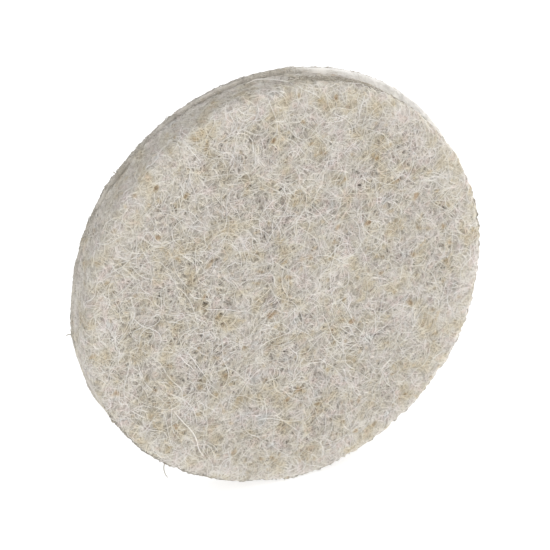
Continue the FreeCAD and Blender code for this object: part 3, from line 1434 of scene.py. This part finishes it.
        # Painted shade along the cloth's outer edge on the left.
        cloth_edge_shade = FibreLayer(
            "cloth_edge_painted_shade", OUTLINE_SHADE_WOOL, 73, 500, mm(0.4, 1.3), mm(0.07, 0.10), mm(0.0, 0.08),
            inner=end - 0.25 * MM, outer=end + 0.2 * MM, around=0.7, sector=(85.0, 260.0),
            slot=Slot.CLOTH, overrun=0.25 * MM, **NO_PITS,
        )
        # A thin grey line of painted shade along the cloth's outer edge at the upper right.
        greyed = FibreLayer(
            "edge_greyed", SHADE_WOOL, 74, 160, mm(0.5, 1.6), mm(0.06, 0.09), mm(0.0, 0.05),
            inner=end - 0.1 * MM, outer=end + 0.2 * MM, around=0.85, tone=(0.5, 1.0), sector=(8.0, 90.0),
            slot=Slot.CLOTH, overrun=0.25 * MM, **NO_PITS,
        )
        net = FibreNet(edge)
        # The wool isn't the cloth's own, so it isn't counted with its pieces.
        net.build(clinging)
        return net.build(brushed) + net.build(cloth_edge_shade) + net.build(greyed)

    def build(self, net: FibreNet) -> None:
        """Args:
            net: what wraps tubes round the loops' lines.
        """
        ground = self.build_ground()
        pile = self.build_pile(net) + self.build_edge()


# ------------------------------------------------------------------------------
# The studio


@dataclass
class Studio:
    """A white tent: a pale floor lit from below, even light all round and one large soft lamp.

    Attributes:
        target: the middle of the working face, which the camera and the lamp are placed from.
        floor_z: how high the floor is.
        azimuth: which way the camera looks, in degrees, where 0 looks along +Y.
        elevation: how far above the horizon the camera is, in degrees.
        distance: how far the camera is from the face.
        offset: how far the camera stands to the right and above that line.
        lens: the lens's focal length in millimetres, on a sensor of SENSOR_WIDTH.
        tent_light: how bright the tent is all round.
        lamp_power: the lamp's power in watts.
        lamp_size: the lamp's width.
        lamp_from: the direction the lamp stands in.
        lamp_distance: how far it is from the face.
        floor_reach: how far the floor reaches each way.
    """

    target: Vector
    floor_z: float
    azimuth: float = -24.15
    elevation: float = 25.43
    distance: float = 200 * MM
    offset: tuple[float, float] = (-2.007 * MM, 2.036 * MM)
    lens: float = 114.1527
    tent_light: float = 0.92
    lamp_power: float = 1.95
    lamp_size: float = 0.4
    lamp_from: tuple[float, float, float] = (0.72, -0.66, 0.05)
    lamp_distance: float = 0.6
    floor_reach: float = 3.0

    def build_floor(self) -> None:
        """Lays the floor, wide enough to fill every view."""
        far = self.floor_reach
        corners = [(-far, -far, 0), (far, -far, 0), (far, far, 0), (-far, far, 0)]
        mesh = bpy.data.meshes.new("tent_floor")
        mesh.from_pydata(corners, [], [(0, 1, 2, 3)])
        mesh.materials.append(TENT_FLOOR.build())
        floor = bpy.data.objects.new("tent_floor", mesh)
        floor.location = (0, 0, self.floor_z)
        bpy.context.scene.collection.objects.link(floor)
        floor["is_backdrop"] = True

    def build_lights(self) -> None:
        """Lights the tent evenly, and the working face from the front and right."""
        world = bpy.data.worlds.new("tent")
        world.use_nodes = True
        back = world.node_tree.nodes["Background"]
        back.inputs["Color"].default_value = linear("ffffff")
        back.inputs["Strength"].default_value = self.tent_light
        bpy.context.scene.world = world
        light = bpy.data.lights.new("soft_box", "AREA")
        light.shape = "SQUARE"
        light.size = self.lamp_size
        light.energy = self.lamp_power
        light.color = linear("fffaf2")[:3]
        lamp = bpy.data.objects.new("soft_box", light)
        toward = Vector(self.lamp_from).normalized()
        lamp.location = self.target + toward * self.lamp_distance
        lamp.rotation_mode = "QUATERNION"
        lamp.rotation_quaternion = toward.to_track_quat("Z", "Y")
        bpy.context.scene.collection.objects.link(lamp)

    def build_camera(self) -> None:
        """Places the camera, level with the horizon and with everything sharp."""
        a, e = math.radians(self.azimuth), math.radians(self.elevation)
        back = Vector((math.sin(a) * math.cos(e), -math.cos(a) * math.cos(e), math.sin(e)))
        right = Vector((math.cos(a), math.sin(a), 0))
        up = back.cross(right)
        data = bpy.data.cameras.new("camera")
        data.sensor_width = SENSOR_WIDTH
        data.lens = self.lens
        data.clip_start, data.clip_end = 0.01, 20
        camera = bpy.data.objects.new("camera", data)
        sideways, upward = self.offset
        camera.location = self.target + back * self.distance + right * sideways + up * upward
        camera.rotation_euler = Matrix((right, up, back)).transposed().to_euler()
        bpy.context.scene.collection.objects.link(camera)
        bpy.context.scene.camera = camera

    def build(self) -> None:
        """Sets the tent, its lights and the camera up."""
        bpy.context.scene.view_settings.view_transform = "Standard"
        self.build_floor()
        self.build_lights()
        self.build_camera()


# ------------------------------------------------------------------------------


def main() -> None:
    """Builds the wheel piece by piece, then the studio."""
    logging.basicConfig(level=logging.INFO, format="%(name)s %(message)s")
    cad_low, cad_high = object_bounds()
    felt_low, felt_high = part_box("felt_disc")
    radius = (felt_high.x - felt_low.x) / 2 - FIBRE_STAND
    shape = FeltShape(radius=radius, face=felt_low.y, back=felt_high.y)
    FeltDisc(shape).build()
    GlueFilm(*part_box("glue_film")).build()
    LoopBacking(*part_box("loop_backing")).build(FibreNet(shape))
    Studio(target=Vector((0, shape.face, 0)), floor_z=cad_low.z - 0.05 * MM).build()


if __name__ == "__main__":
    main()
